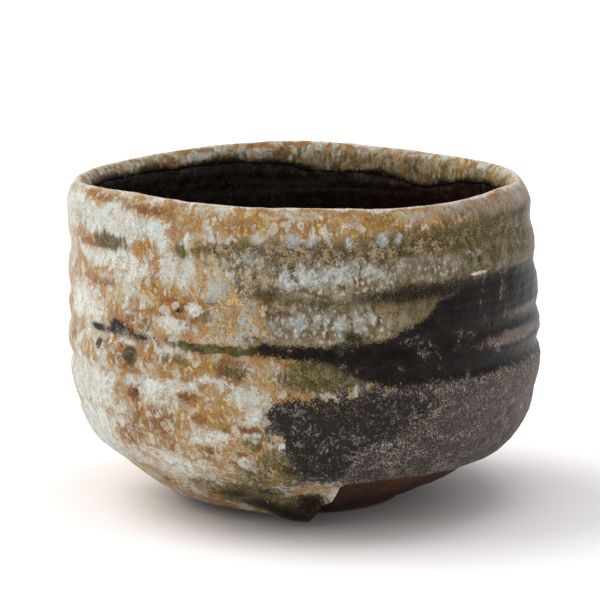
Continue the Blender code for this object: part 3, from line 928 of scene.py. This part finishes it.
def bare_clay(look, dark, light):
    """Unglazed stoneware with its grit. Returns the fine and the coarser noise it is made of."""
    fine = look.noise(0.45, 6.0, 0.65)
    middle = look.noise(2.6, 6.0, 0.6, shift=4.0)
    look.colour = look.mix(look.step(look.blend(0.5, fine, middle), 0.36, 0.66), dark, light)
    grit = look.step(look.cells(1.0, shift=6.0), 0.08, 0.2, 1.0, 0.0)
    look.over((0.13, 0.09, 0.07), grit, 0.55)
    return fine, middle


def vessel_clay():
    look = Look("stoneware_dark")
    fine, middle = bare_clay(look, (0.020, 0.011, 0.008), (0.060, 0.031, 0.021))
    glow = look.edge("glow", middle, 1.0, 0.4)
    look.over(FLAME_RUST, glow, 0.75)
    normal = look.bump(fine, 0.55, 0.4, look.bump(middle, 0.4, 0.8))
    return look.finish(look.blend(fine, 0.55, 0.85), normal, 0.14)


def foot_clay():
    look = Look("stoneware_foot")
    fine, middle = bare_clay(look, (0.030, 0.018, 0.014), (0.085, 0.052, 0.040))
    look.over(FLAME_RUST, look.step(middle, 0.5, 0.7, 0.0, 0.6))
    look.over((0.15, 0.105, 0.08), look.edge("wear", fine, 1.0, 0.3), 0.7)
    normal = look.bump(fine, 0.6, 0.4, look.bump(middle, 0.4, 0.8))
    return look.finish(look.blend(look.paint("wear"), 0.85, 0.62), normal, 0.3)


# ---- floor, light and camera, in metres
FLOOR_RADIUS, FLOOR_SIDES = 4.0, 64
FLOOR_PAINTED_GLOW, GLOW_START, GLOW_END = 0.27, 0.036, 0.14  # the floor's painted light: its strength, and where it fades in, which leaves a painted shadow nearer the bowl
CAMERA_TARGET = (0.0, 0.0, 0.0415)
CAMERA_DISTANCE, CAMERA_ELEVATION = 0.9, 11.4


def make_floor():
    """A pale floor that glows faintly away from the bowl, so that it stays evenly light there; where
    the glow fades out near the bowl it leaves a painted shadow.
    """
    mesh = bpy.data.meshes.new("floor")
    turns = np.linspace(0, 2 * np.pi, FLOOR_SIDES, endpoint=False)
    ring = [(FLOOR_RADIUS * np.cos(turn), FLOOR_RADIUS * np.sin(turn), 0.0) for turn in turns]
    mesh.from_pydata(ring, [], [tuple(range(FLOOR_SIDES))])
    look = Look("floor_paper")
    paper = look.noise(6.0, 3.0)
    # painted light: the floor glows from 36 mm out, leaving a painted shadow round the bowl
    glow = look.mix(look.around(GLOW_START, GLOW_END), (0.0, 0.0, 0.0), (0.86, 0.93, 1.0))
    look.put(glow, look.shader.inputs["Emission Color"])
    look.shader.inputs["Emission Strength"].default_value = FLOOR_PAINTED_GLOW
    look.colour = look.mix(paper, (0.915, 0.88, 0.87), (0.93, 0.895, 0.885))
    mesh.materials.append(look.finish(0.85, look.bump(paper, 0.1, 0.1), 0.2))
    floor = bpy.data.objects.new("floor", mesh)
    bpy.context.scene.collection.objects.link(floor)


def add_aimed(name, data, spot, target):
    """Puts a light or camera at spot, looking at target."""
    thing = bpy.data.objects.new(name, data)
    thing.location = spot
    thing.rotation_euler = (Vector(target) - Vector(spot)).to_track_quat("-Z", "Y").to_euler()
    bpy.context.scene.collection.objects.link(thing)
    return thing


def add_softbox(name, spot, target_height, size, power, colour):
    light = bpy.data.lights.new(name, "AREA")
    light.shape = "RECTANGLE"
    light.size, light.size_y = size
    light.energy = power
    light.color = colour
    add_aimed(name, light, spot, (0.0, 0.0, target_height))


def make_light():
    """A white studio that is darker above, a window behind on the left, and three softboxes."""
    world = bpy.data.worlds.new("studio")
    world.use_nodes = True
    nodes, links = world.node_tree.nodes, world.node_tree.links
    upwards = nodes.new("ShaderNodeSeparateXYZ")
    links.new(nodes.new("ShaderNodeTexCoord").outputs["Generated"], upwards.inputs[0])
    fade = nodes.new("ShaderNodeMapRange")
    settings = {"From Min": 0.0, "From Max": 0.3, "To Min": 1.02, "To Max": 0.68}
    for key, value in settings.items():
        fade.inputs[key].default_value = value
    links.new(upwards.outputs["Z"], fade.inputs["Value"])
    links.new(fade.outputs[0], nodes["Background"].inputs["Strength"])
    nodes["Background"].inputs["Color"].default_value = (1.0, 1.0, 1.0, 1.0)
    bpy.context.scene.world = world

    window = bpy.data.lights.new("window", "SUN")
    window.energy = 1.5
    window.angle = 0.9
    add_aimed("window", window, (-0.9, 0.25, 1.1), (0.0, 0.0, 0.0))
    add_softbox("softbox_back_left", (-0.75, 0.5, 0.65), 0.05, (0.7, 0.7), 2.2, (1.0, 0.99, 0.97))
    add_softbox("softbox_top", (0.22, 0.04, 0.9), 0.06, (0.5, 0.4), 1.4, (1.0, 1.0, 1.0))
    add_softbox("softbox_front_left", (-0.8, -0.9, 0.5), 0.04, (0.8, 0.5), 0.9, (1.0, 0.99, 0.98))


def make_camera():
    data = bpy.data.cameras.new("camera")
    data.lens = 211.0
    data.sensor_width = 36.0
    data.shift_x, data.shift_y = -0.0092, 0.0553
    target = np.array(CAMERA_TARGET)
    elevation = np.radians(CAMERA_ELEVATION)
    back = np.array([0.0, -np.cos(elevation), np.sin(elevation)])
    spot = target + CAMERA_DISTANCE * back
    bpy.context.scene.camera = add_aimed("camera", data, tuple(spot), tuple(target))


make_camera()
make_floor()
make_light()
make_ash_glaze(ash_glaze())
make_liner(liner_glaze())
make_clay(vessel_clay())
make_foot(foot_clay())
bpy.context.scene.view_settings.view_transform = "Standard"
